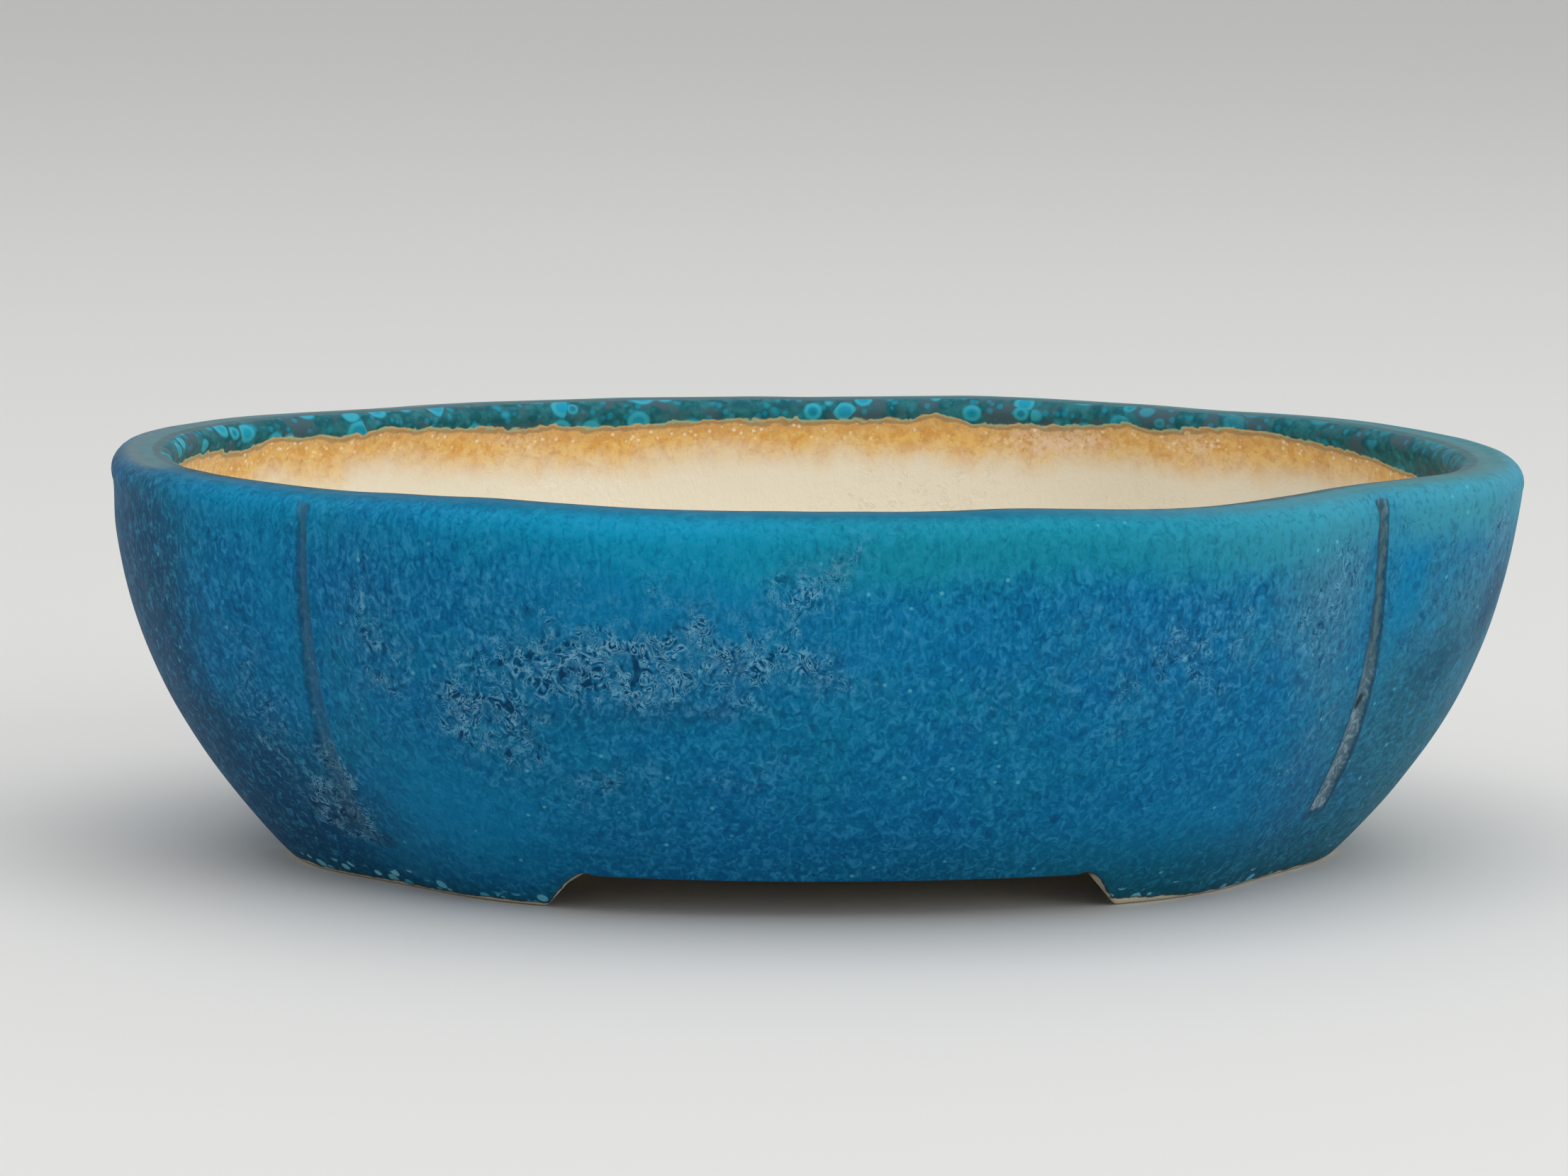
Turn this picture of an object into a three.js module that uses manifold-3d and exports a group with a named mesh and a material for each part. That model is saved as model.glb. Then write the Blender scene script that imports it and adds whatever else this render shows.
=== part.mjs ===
// A lobed oval bonsai pot in stoneware: a wall with a rolled-in lip, a pierced floor slab, and two feet.
// Millimetres, +Z up. +X runs along the pot and +Y to its back. The origin is on the ground under its middle.
// The potter's four pieces of clay are four meshes, with a hairline gap at each luted seam.
import * as THREE from "three";
import { mergeVertices } from "three/addons/utils/BufferGeometryUtils.js";
import Module from "manifold-3d";

// Driving dimensions.
const WIDTH = 300; // over the lobes at the two ends
const DEPTH = 240; // over the front and back lobes
const HEIGHT = 85;
const BASE_WIDTH = 224; // over the feet, on the ground
const BASE_DEPTH = 164;
const FOOT_HEIGHT = 9;
const FLOOR_THICKNESS = 9;
const WALL_THICKNESS = 9; // level, at half height
const LIP_WIDTH = 13.5; // from the pot's outside to the inner edge of its lip
const DRAIN_DIAMETER = 28;
const DRAIN_SPACING = 100;
const WIRE_HOLE_DIAMETER = 5;
const WIRE_HOLE_AT = [70, 38];

// The shape of the wall.
const OVALITY = 2.1; // superellipse exponent of the plan: 2 is an ellipse
const LIP_ROUND = 5.7; // radius of the lip's outer shoulder
const LIP_EDGE_ROUND = 3.2; // radius of its inner edge
const SHOULDER_HEIGHT = HEIGHT - LIP_ROUND; // where the pot is widest
const UPRIGHT_HEIGHT = 102; // where the flaring side would stand upright if it ran on past the lip
const FLARE_POWER = 2.57; // how fast it straightens as it rises
const SEAM_GAP = 0.3;
const ROUND_STEPS = 96; // facets round the pot

// A crease pinches the wall at four places, and a groove is pressed along each one.
// Angles are in degrees from the X axis, and pinch is how far the crease draws the lip in.
const CREASES = [
  { side: 1, end: 1, lipAngle: 42, footAngle: 31, pinch: 4 }, // back right
  { side: 1, end: -1, lipAngle: 41, footAngle: 30, pinch: 5 }, // back left
  { side: -1, end: -1, lipAngle: 36.4, footAngle: 26.7, pinch: 4.5 }, // front left
  { side: -1, end: 1, lipAngle: 37.1, footAngle: 24.4, pinch: 6 }, // front right
];
const FOOT_PINCH = 4.8;
const PINCH_REACH = 22; // how far along the wall a pinch spreads
const PINCH_FADE_HEIGHT = 24; // over this the foot's pinch turns into the lip's
const GROOVE_BOTTOM = 15;
const GROOVE_TOP = 80.5;
const GROOVE_HALF_WIDTH_TOP = 1.2;
const GROOVE_HALF_WIDTH_BOTTOM = 3;
const GROOVE_DEPTH = 1.6;

// The window between the feet, at the front and at the back, is wider on the ground than at its top.
const WINDOW_HALF_AT_GROUND = 57.5;
const WINDOW_HALF_AT_TOP = 51;
const WINDOW_SHIFT = -2.5; // its middle is a little to the left of the pot's
const FOOT_WIDTH = 14; // level, at the top of a foot
const FOOT_TAPER = 2; // how much narrower it is on the ground
const EDGE_ROUND = 1.2; // worn edge of the feet and of the wall's underside

// The seam between wall and floor, and the cove above it.
const FLOOR_TOP = FOOT_HEIGHT + FLOOR_THICKNESS;
const SEAM_INSET_BOTTOM = 12.5;
const SEAM_INSET_TOP = 16.5;
const SEAM_MIDDLE = [(SEAM_INSET_BOTTOM + SEAM_INSET_TOP) / 2, (FOOT_HEIGHT + FLOOR_TOP) / 2];
const COVE_HEIGHT = 8;

const wasm = await Module();
wasm.setup();

// How far the side has closed in towards the base: 1 on the ground, 0 at the shoulder and above it.
function closing(z) {
  const curve = (height) => Math.pow(1 - height / UPRIGHT_HEIGHT, FLARE_POWER);
  const last = curve(SHOULDER_HEIGHT);
  return Math.max(0, (curve(z) - last) / (1 - last));
}

// The plan angle of a crease at a height. It leans near the foot and stands upright towards the lip.
function creaseAngle(crease, z) {
  const rise = 1 - (1 - z / UPRIGHT_HEIGHT) ** 2;
  const degrees = THREE.MathUtils.lerp(crease.footAngle, crease.lipAngle, rise);
  const tilt = THREE.MathUtils.degToRad(degrees);
  return Math.atan2(crease.side * Math.sin(tilt), crease.end * Math.cos(tilt));
}

// The point of the pot at a plan angle and a height, set in from its outer face.
function potPoint(angle, z, inset) {
  const a = WIDTH / 2 - ((WIDTH - BASE_WIDTH) / 2) * closing(z) - inset;
  const b = DEPTH / 2 - ((DEPTH - BASE_DEPTH) / 2) * closing(z) - inset;
  const across = Math.pow(Math.abs(Math.cos(angle)) / a, OVALITY);
  const along = Math.pow(Math.abs(Math.sin(angle)) / b, OVALITY);
  const oval = Math.pow(across + along, -1 / OVALITY);
  const rise = THREE.MathUtils.smoothstep(z, 0, PINCH_FADE_HEIGHT);
  let radius = oval;
  for (const crease of CREASES) {
    const turn = angle - creaseAngle(crease, z);
    const away = (Math.atan2(Math.sin(turn), Math.cos(turn)) * oval) / PINCH_REACH;
    radius -= THREE.MathUtils.lerp(FOOT_PINCH, crease.pinch, rise) * Math.exp(-away * away);
  }
  return new THREE.Vector3(radius * Math.cos(angle), radius * Math.sin(angle), z);
}

// Turns a section, a list of [inset, height] points, round the pot.
// The lathe makes a round ring, and each of its vertices then moves to its place on the lobed plan.
const LATHE_RADIUS = 200; // an inset of this much is on the axis
function turned(section) {
  const profile = section.map(([inset, z]) => new THREE.Vector2(LATHE_RADIUS - inset, z));
  const ring = new THREE.LatheGeometry(profile, ROUND_STEPS).rotateX(Math.PI / 2);
  const position = ring.getAttribute("position");
  for (let i = 0; i < position.count; i++) {
    const from = Math.hypot(position.getX(i), position.getY(i));
    if (from < 1e-3) continue; // stays on the axis
    const angle = Math.atan2(position.getY(i), position.getX(i));
    const point = potPoint(angle, position.getZ(i), LATHE_RADIUS - from);
    position.setXYZ(i, point.x, point.y, point.z);
  }
  return ring;
}

function solid(geometry) {
  const bare = geometry.clone();
  for (const name of Object.keys(bare.attributes)) {
    if (name !== "position") bare.deleteAttribute(name);
  }
  const merged = mergeVertices(bare, 1e-3);
  const triVerts = new Uint32Array(merged.index.array);
  const vertProperties = merged.getAttribute("position").array;
  return new wasm.Manifold(new wasm.Mesh({ numProp: 3, vertProperties, triVerts }));
}

function geometryOf(body) {
  const mesh = body.getMesh();
  const geometry = new THREE.BufferGeometry();
  geometry.setAttribute("position", new THREE.BufferAttribute(mesh.vertProperties, mesh.numProp));
  geometry.setIndex(new THREE.BufferAttribute(mesh.triVerts, 1));
  geometry.computeVertexNormals();
  return geometry;
}

// An arc in a section, as [inset, height] points. At 0 degrees it faces out, and at 90 up.
function arc(centreInset, centreZ, radius, fromDegrees, toDegrees, steps) {
  return Array.from({ length: steps + 1 }, (_, i) => {
    const turn = THREE.MathUtils.degToRad(THREE.MathUtils.lerp(fromDegrees, toDegrees, i / steps));
    return [centreInset - radius * Math.cos(turn), centreZ + radius * Math.sin(turn)];
  });
}

// A closed spindle that lies along a crease, thin at the lip and broad near the foot.
function grooveCutter(crease) {
  const spindle = new THREE.CylinderGeometry(1, 1, 1, 6, 10).rotateX(Math.PI / 2);
  const position = spindle.getAttribute("position");
  for (let i = 0; i < position.count; i++) {
    const up = position.getZ(i) + 0.5;
    const z = THREE.MathUtils.lerp(GROOVE_BOTTOM, GROOVE_TOP, up);
    const rounding = Math.sqrt(Math.min(1, 8 * (up + 0.03), 8 * (1.03 - up))); // both ends are rounded off
    const halfWidth = THREE.MathUtils.lerp(GROOVE_HALF_WIDTH_BOTTOM, GROOVE_HALF_WIDTH_TOP, up);
    const angle = creaseAngle(crease, z);
    const out = new THREE.Vector3(Math.cos(angle), Math.sin(angle), 0);
    const aside = new THREE.Vector3(-out.y, out.x, 0);
    const point = potPoint(angle, z, 0);
    point.addScaledVector(out, position.getX(i) * GROOVE_DEPTH * rounding);
    point.addScaledVector(aside, position.getY(i) * halfWidth * rounding);
    position.setXYZ(i, point.x, point.y, point.z);
  }
  return solid(spindle);
}

// The wall: outer face, rolled lip, inner face, and the cove that runs down to the floor.
function makeWall() {
  const outside = [15, 23, 32, 42, 54, 67].map((z) => [0, z]);
  const lip = [
    ...arc(LIP_ROUND, SHOULDER_HEIGHT, LIP_ROUND, 0, 90, 5),
    ...arc(LIP_WIDTH - LIP_EDGE_ROUND, HEIGHT - LIP_EDGE_ROUND, LIP_EDGE_ROUND, 90, 180, 3),
  ];
  const inside = [
    [WALL_THICKNESS + 1.5, HEIGHT - 13],
    [WALL_THICKNESS, HEIGHT / 2 + 10],
    [WALL_THICKNESS + 0.8, 40],
    [WALL_THICKNESS + 2.5, FLOOR_TOP + COVE_HEIGHT],
    [WALL_THICKNESS + 4.2, FLOOR_TOP + COVE_HEIGHT / 3],
    [SEAM_INSET_TOP, FLOOR_TOP],
  ];
  const underside = [
    SEAM_MIDDLE,
    [SEAM_INSET_BOTTOM, FOOT_HEIGHT],
    [EDGE_ROUND, FOOT_HEIGHT],
    [0, FOOT_HEIGHT + EDGE_ROUND],
  ];
  const section = [...outside, ...lip, ...inside, ...underside];
  let wall = solid(turned([...section, section[0]]));
  for (const crease of CREASES) {
    wall = wall.subtract(grooveCutter(crease));
  }
  return geometryOf(wall);
}

function throughHole(diameter, sides, x, y) {
  const drill = new THREE.CylinderGeometry(diameter / 2, diameter / 2, 4 * FLOOR_THICKNESS, sides);
  return solid(drill.rotateX(Math.PI / 2).translate(x, y, FLOOR_TOP));
}

// The floor slab sits inside the foot of the wall. It has two drain holes and four for the tie wires.
function makeFloor() {
  const disc = [
    [LATHE_RADIUS, FOOT_HEIGHT],
    [SEAM_INSET_BOTTOM + SEAM_GAP, FOOT_HEIGHT],
    [SEAM_MIDDLE[0] + SEAM_GAP, SEAM_MIDDLE[1]],
    [SEAM_INSET_TOP + SEAM_GAP, FLOOR_TOP],
    [LATHE_RADIUS, FLOOR_TOP],
  ];
  const [wireX, wireY] = WIRE_HOLE_AT;
  let slab = solid(turned(disc));
  for (const end of [-1, 1]) {
    slab = slab.subtract(throughHole(DRAIN_DIAMETER, 32, (end * DRAIN_SPACING) / 2, 0));
    for (const side of [-1, 1]) {
      slab = slab.subtract(throughHole(WIRE_HOLE_DIAMETER, 12, end * wireX, side * wireY));
    }
  }
  return geometryOf(slab);
}

// A foot is the stretch of a low foot ring that wraps one end of the pot, from window to window.
function makeFoot(end) {
  const top = FOOT_HEIGHT - SEAM_GAP;
  const section = [
    [0, EDGE_ROUND],
    [0, top],
    [FOOT_WIDTH, top],
    [FOOT_WIDTH - FOOT_TAPER, EDGE_ROUND],
    [FOOT_WIDTH - FOOT_TAPER - EDGE_ROUND, 0],
    [EDGE_ROUND, 0],
  ];
  const ring = solid(turned([...section, section[0]]));
  const windowTop = WINDOW_HALF_AT_TOP + end * WINDOW_SHIFT;
  const windowGround = WINDOW_HALF_AT_GROUND + end * WINDOW_SHIFT;
  const sideView = new THREE.Shape();
  sideView.moveTo(WIDTH, -1);
  sideView.lineTo(WIDTH, HEIGHT);
  sideView.lineTo(windowTop, HEIGHT);
  sideView.lineTo(windowTop, top - 0.5);
  sideView.quadraticCurveTo(windowTop + 2, top - 2, windowGround - 1, 1);
  sideView.lineTo(windowGround, -1);
  const options = { depth: 2 * DEPTH, bevelEnabled: false, curveSegments: 4 };
  const block = new THREE.ExtrudeGeometry(sideView, options);
  block.translate(0, 0, -DEPTH).rotateX(Math.PI / 2);
  if (end < 0) block.rotateZ(Math.PI);
  return geometryOf(ring.intersect(solid(block)));
}

const glaze = new THREE.MeshStandardMaterial({ color: 0x1579a8, roughness: 0.5, metalness: 0 });
const footGlaze = new THREE.MeshStandardMaterial({ color: 0x14708f, roughness: 0.5, metalness: 0 });
const bareClay = new THREE.MeshStandardMaterial({ color: 0xd3c3a3, roughness: 0.85, metalness: 0 });

function named(name, geometry, material) {
  const mesh = new THREE.Mesh(geometry, material);
  mesh.name = name;
  return mesh;
}

const pot = new THREE.Group();
pot.add(
  named("wall", makeWall(), glaze),
  named("floor_slab", makeFloor(), bareClay),
  named("left_foot", makeFoot(-1), footGlaze),
  named("right_foot", makeFoot(1), footGlaze.clone()),
);

export default pot;
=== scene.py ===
# A lobed oval bonsai pot in glazed stoneware. Metres, +Z up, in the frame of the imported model.
# Each clay piece is rebuilt as a fine mesh on the same surface as its CAD node, and glazed
# by a procedural material.
import math

import bpy
import numpy as np
from mathutils import Matrix, Vector, geometry, noise


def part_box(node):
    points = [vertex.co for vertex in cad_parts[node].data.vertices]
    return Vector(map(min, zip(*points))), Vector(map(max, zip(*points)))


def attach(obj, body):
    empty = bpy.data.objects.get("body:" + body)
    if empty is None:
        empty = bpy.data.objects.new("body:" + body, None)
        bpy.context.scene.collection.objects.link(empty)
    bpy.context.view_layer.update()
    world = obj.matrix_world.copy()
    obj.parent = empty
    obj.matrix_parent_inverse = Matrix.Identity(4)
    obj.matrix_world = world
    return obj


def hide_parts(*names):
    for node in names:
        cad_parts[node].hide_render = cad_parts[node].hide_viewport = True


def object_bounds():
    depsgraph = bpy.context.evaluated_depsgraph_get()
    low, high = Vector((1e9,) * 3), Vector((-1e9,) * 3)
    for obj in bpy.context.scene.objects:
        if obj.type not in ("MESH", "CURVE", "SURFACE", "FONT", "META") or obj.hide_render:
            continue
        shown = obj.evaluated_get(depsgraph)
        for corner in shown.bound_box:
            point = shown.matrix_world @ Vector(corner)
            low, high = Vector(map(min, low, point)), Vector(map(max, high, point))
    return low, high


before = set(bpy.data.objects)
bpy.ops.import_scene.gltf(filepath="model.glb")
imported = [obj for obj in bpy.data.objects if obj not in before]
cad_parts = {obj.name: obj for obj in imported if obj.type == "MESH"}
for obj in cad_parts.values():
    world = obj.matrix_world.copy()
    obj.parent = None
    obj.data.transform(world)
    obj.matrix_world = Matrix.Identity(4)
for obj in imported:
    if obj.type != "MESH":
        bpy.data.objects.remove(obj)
cad_low, cad_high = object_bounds()

MM = 0.001

# ------------------------ the pot's shape, in millimetres
WIDTH = (cad_high.x - cad_low.x) / MM
DEPTH = (cad_high.y - cad_low.y) / MM
HEIGHT = (cad_high.z - cad_low.z) / MM
BASE_WIDTH = 224
BASE_DEPTH = 164
FOOT_HEIGHT = 9
FLOOR_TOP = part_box("floor_slab")[1].z / MM
WALL_THICKNESS = 9
LIP_WIDTH = 13.5
LIP_ROUND = 5.7
LIP_EDGE_ROUND = 3.2
DRAIN_DIAMETER = 28
DRAIN_SPACING = 100
WIRE_HOLE_DIAMETER = 5
WIRE_HOLE_X = 70
WIRE_HOLE_Y = 38
OVALITY = 2.1
SHOULDER_HEIGHT = HEIGHT - LIP_ROUND
UPRIGHT_HEIGHT = 102
FLARE_POWER = 2.57
SEAM_INSET_BOTTOM = 12.5
SEAM_INSET_TOP = 16.5
COVE_HEIGHT = 8

# Each crease: side of the pot (+1 back), end (+1 right), plan angle at the lip and at the foot,
# and how far it pinches the lip.
CREASES = (
    (1, 1, 42, 31, 4.0),
    (1, -1, 41, 30, 5.0),
    (-1, -1, 36.4, 26.7, 4.5),
    (-1, 1, 37.1, 24.4, 6.0),
)
FOOT_PINCH = 4.8
PINCH_REACH = 22
PINCH_FADE_HEIGHT = 24
GROOVE_BOTTOM = 16.5
GROOVE_TOP = 83
GROOVE_HALF_AT_LIP = 1.15
GROOVE_HALF_GAIN = 1.25  # how much of its half width it gains towards the foot
GROOVE_DEPTH = 0.9
GROOVE_SHOULDER = 0.14  # the clay that the groove pushed up beside it

WINDOW_HALF_AT_GROUND = 57.5
WINDOW_HALF_AT_TOP = 51
WINDOW_SHIFT = -2.5  # the windows' middle is a little to the left of the pot's
FOOT_WIDTH = 14
FOOT_TAPER = 2
EDGE_ROUND = 1.2


def smooth(x, low, high):
    """0 at low, 1 at high, and an S between them."""
    t = np.clip((np.asarray(x, float) - low) / (high - low), 0, 1)
    return t * t * (3 - 2 * t)


def closing(z):
    """How far the side has closed in: 1 on the ground, 0 at the shoulder and above it."""
    def curve(height):
        return np.clip(1 - height / UPRIGHT_HEIGHT, 0, 1) ** FLARE_POWER

    last = curve(SHOULDER_HEIGHT)
    return np.clip((curve(z) - last) / (1 - last), 0, None)


def crease_angle(crease, z):
    """A crease's plan angle at a height. It leans near the foot and is upright towards the lip."""
    side, end, lip_angle, foot_angle, _ = crease
    rise = 1 - (1 - z / UPRIGHT_HEIGHT) ** 2
    tilt = np.radians(foot_angle + (lip_angle - foot_angle) * rise)
    return np.arctan2(side * np.sin(tilt), end * np.cos(tilt))


def plan_point(radius, angle):
    return radius * np.cos(angle), radius * np.sin(angle)


def turn_between(angle, other):
    return np.arctan2(np.sin(angle - other), np.cos(angle - other))


def oval_radius(angle, z, inset):
    """Radius of the plan before the creases pinch it."""
    shut = closing(z)
    a = WIDTH / 2 - (WIDTH - BASE_WIDTH) / 2 * shut - inset
    b = DEPTH / 2 - (DEPTH - BASE_DEPTH) / 2 * shut - inset
    across = np.abs(np.cos(angle) / a) ** OVALITY
    along = np.abs(np.sin(angle) / b) ** OVALITY
    return (across + along) ** (-1 / OVALITY)


def pot_radius(angle, z, inset):
    """Radius of the lobed plan at an angle and a height, set in from the outer face."""
    oval = oval_radius(angle, z, inset)
    rise = smooth(z, 0, PINCH_FADE_HEIGHT)
    radius = oval.copy()
    for crease in CREASES:
        away = turn_between(angle, crease_angle(crease, z)) * oval / PINCH_REACH
        pinch = FOOT_PINCH + (crease[4] - FOOT_PINCH) * rise
        radius -= pinch * np.exp(-away * away)
    return radius


# ------------------------ hand-made unevenness
# Where the hand-rolled lip runs high or low: plan angle, how far it spreads in degrees, and the lift.
LIP_WAVES = (
    (172, 22, 0.65),
    (142, 12, 0.3),
    (96, 22, 0.25),
    (64, 13, 1.0),
    (46, 7, 0.55),
    (30, 12, 0.55),
    (-27, 10, 0.95),
    (-57, 8, -0.6),
    (-75, 6, 0.4),
    (-127, 11, 0.95),
    (-146, 5, -0.25),
    (-158, 8, 0.25),
)
# Where the lip bulges or is drawn in: plan angle, how far it spreads in degrees, and the bulge.
LIP_BULGES = (
    (180, 30, -0.9),
    (0, 30, 0.45),
)
LIP_BULGE_HEIGHT = 79
LIP_BULGE_SPREAD = 7
LIP_SQUARENESS = 1.0  # how far the lip's outer corner stands out past a round one at the two ends
SWELL = 0.34  # how far the face wanders in broad swells
RIPPLE = 0.13  # and in finer ripples
LIP_RIPPLE = 0.12
# Between which insets the outside's marks fade, and between which heights the others set in.
OUTSIDE_FADE = (1.5, 6)
SWELL_FADE = (0, 12)
LIP_WAVE_FADE = (45, 82)
LIP_RIPPLE_FADE = (70, 84)


def wander(x, y, z, size, seed):
    """Smooth noise of about -1 to 1 at each point, with features of that size in millimetres."""
    points = np.stack(np.broadcast_arrays(x, y, z), -1).reshape(-1, 3) / size + seed * 17.3
    values = [noise.noise(Vector(p)) for p in points]
    return np.array(values).reshape(np.broadcast(x, y, z).shape)


def gentle(waves, angle):
    """The sum of a list of waves, in millimetres, at each plan angle."""
    total = np.zeros_like(angle)
    for middle, reach, height in waves:
        away = np.degrees(turn_between(angle, math.radians(middle))) / reach
        total += height * np.exp(-away * away)
    return total


# ------------------------ the grid that wall and feet share
FINE_REACH = 6.3  # the grid is fine this near to a crease
FINE_STEP = 0.35
COARSE_STEP = 1.25
LOBE_SAMPLES = 400  # how many chords measure a lobe's length


def crease_angles(z):
    """The creases' plan angles at a height, rising, with the first one again a whole turn later."""
    angles = [crease_angle(crease, z) % (2 * math.pi) for crease in CREASES]
    return np.array(angles + [angles[0] + 2 * math.pi])


def make_columns():
    """Places round the pot: each has a lobe, 0 to 3, and a share of the way across it."""
    lobes, shares = [], []
    around = crease_angles(SHOULDER_HEIGHT)
    for lobe in range(len(CREASES)):
        angles = np.linspace(around[lobe], around[lobe + 1], LOBE_SAMPLES)
        radius = pot_radius(angles, SHOULDER_HEIGHT, 0)
        length = np.hypot(*np.diff(plan_point(radius, angles))).sum()
        fine = np.arange(0, FINE_REACH, FINE_STEP)
        steps = round((length - 2 * FINE_REACH) / COARSE_STEP)
        coarse = np.linspace(FINE_REACH, length - FINE_REACH, steps, endpoint=False)
        along = np.concatenate([fine, coarse, length - FINE_REACH + fine])
        lobes.extend([lobe] * len(along))
        shares.extend(along / length)
    return np.array(lobes), np.array(shares)


LOBES, SHARES = make_columns()


def column_angles(z):
    """Plan angle of every column at one height. The columns lean with the creases."""
    around = crease_angles(z)
    return around[LOBES] + SHARES * (around[LOBES + 1] - around[LOBES])


def through(points, steps):
    """A smooth curve through points, with steps between each pair. The outermost two only aim it."""
    points = np.asarray(points, float)
    curve = []
    for before, start, end, after in zip(points, points[1:], points[2:], points[3:]):
        t = np.linspace(0, 1, steps, endpoint=False)[:, None]
        bend = 2 * before - 5 * start + 4 * end - after
        twist = 3 * start - before - 3 * end + after
        curve.append(start + 0.5 * t * ((end - before) + t * (bend + t * twist)))
    return np.concatenate(curve + [points[-2:-1]])


def arc(centre_inset, centre_z, radius, start, end, steps):
    """An arc in a section, as insets and heights. At 0 degrees it faces out, and at 90 up."""
    turn = np.radians(np.linspace(start, end, steps + 1))
    return np.stack([centre_inset - radius * np.cos(turn), centre_z + radius * np.sin(turn)], 1)


def nearest_crease(angle, z):
    """Signed distance along the wall to the nearest crease, and that crease's number."""
    radius = oval_radius(angle, z, 0)
    turns = np.array([turn_between(angle, crease_angle(crease, z)) for crease in CREASES])
    number = np.argmin(np.abs(turns), axis=0)
    return np.take_along_axis(turns, number[None], 0)[0] * radius, number


def groove_half_width(z):
    """Half the width of the pressed groove, which broadens towards the foot."""
    return GROOVE_HALF_AT_LIP + GROOVE_HALF_GAIN * (1 - smooth(z, 20, 80))


def groove_depth(distance, z):
    """How deep the pressed groove is at a distance from its crease."""
    half = groove_half_width(z)
    across = 1 - smooth(np.abs(distance), 0.6 * half, 1.15 * half)
    ends = smooth(z, GROOVE_BOTTOM, GROOVE_BOTTOM + 3) * (1 - smooth(z, GROOVE_TOP - 1.2, GROOVE_TOP))
    shoulder = np.exp(-((np.abs(distance) - 1.35 * half) / (0.3 * half)) ** 2)
    return ends * (GROOVE_DEPTH * across - GROOVE_SHOULDER * shoulder)


def place(angle, z, inset):
    """The pot's point at a plan angle, height and inset, with what the potter's hands left on it."""
    distance, _ = nearest_crease(angle, z)
    outside = 1 - smooth(inset, *OUTSIDE_FADE)
    radius = pot_radius(angle, z, inset) - outside * groove_depth(distance, z)
    x, y = plan_point(radius, angle)
    swell = SWELL * wander(x, y, z, 34, 1) + RIPPLE * wander(x, y, z, 11, 2)
    near_lip = np.exp(-((z - LIP_BULGE_HEIGHT) / LIP_BULGE_SPREAD) ** 2)
    radius = radius + swell * smooth(z, *SWELL_FADE) + outside * near_lip * gentle(LIP_BULGES, angle)

    # the lip's outer corner is squarer at the two ends
    turn = np.arctan2(z - SHOULDER_HEIGHT, LIP_ROUND - inset)
    on_corner = (z > SHOULDER_HEIGHT) & (inset < LIP_ROUND)
    stand_out = on_corner * LIP_SQUARENESS * np.sin(2 * turn) * np.abs(np.cos(angle)) ** 6
    radius = radius + stand_out * np.cos(turn)
    lift = gentle(LIP_WAVES, angle) * smooth(z, *LIP_WAVE_FADE) + stand_out * np.sin(turn)
    lift = lift + LIP_RIPPLE * wander(x, y, 0, 14, 3) * smooth(z, *LIP_RIPPLE_FADE)
    return np.stack([*plan_point(radius, angle), z + lift], -1)


# ------------------------ meshes
def put(name, data):
    """A new object in the scene."""
    thing = bpy.data.objects.new(name, data)
    bpy.context.scene.collection.objects.link(thing)
    return thing


def make_object(name, vertices_mm, faces, material, sharp=()):
    """A smooth-shaded piece on the pot's one body, that stands for the CAD node it is named after."""
    mesh = bpy.data.meshes.new(name)
    mesh.from_pydata((np.asarray(vertices_mm) * MM).tolist(), [], faces)
    mesh.update()
    mesh.polygons.foreach_set("use_smooth", [True] * len(mesh.polygons))
    if len(sharp):
        marked = {tuple(sorted(edge)) for edge in sharp}
        flags = [tuple(sorted(edge.vertices)) in marked for edge in mesh.edges]
        mesh.attributes.new("sharp_edge", "BOOLEAN", "EDGE").data.foreach_set("value", flags)
    piece = put(name, mesh)
    mesh.materials.append(material)
    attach(piece, "root")
    return piece


def bridges(rings):
    """Quads between each ring of vertex numbers and the next."""
    faces = []
    for ring, other in zip(rings, rings[1:]):
        pairs = list(zip(map(int, ring), map(int, other)))
        faces += [(a, c, d, b) for (a, b), (c, d) in zip(pairs, pairs[1:] + pairs[:1])]
    return faces


def length_along(section):
    """Distance along a section from its first point."""
    return np.concatenate([[0], np.cumsum(np.hypot(*np.diff(section, axis=0).T))])


LOW_SIDE_HEIGHT = FOOT_HEIGHT + 4
LOW_SIDE_STEPS = 8
SIDE_STEPS = 50
LIP_STEPS = 22
CROWN_RISE = 0.22  # how far the lip's top bulges between its two rounds
CROWN_MIDDLE = LIP_WIDTH - 5.5


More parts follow.
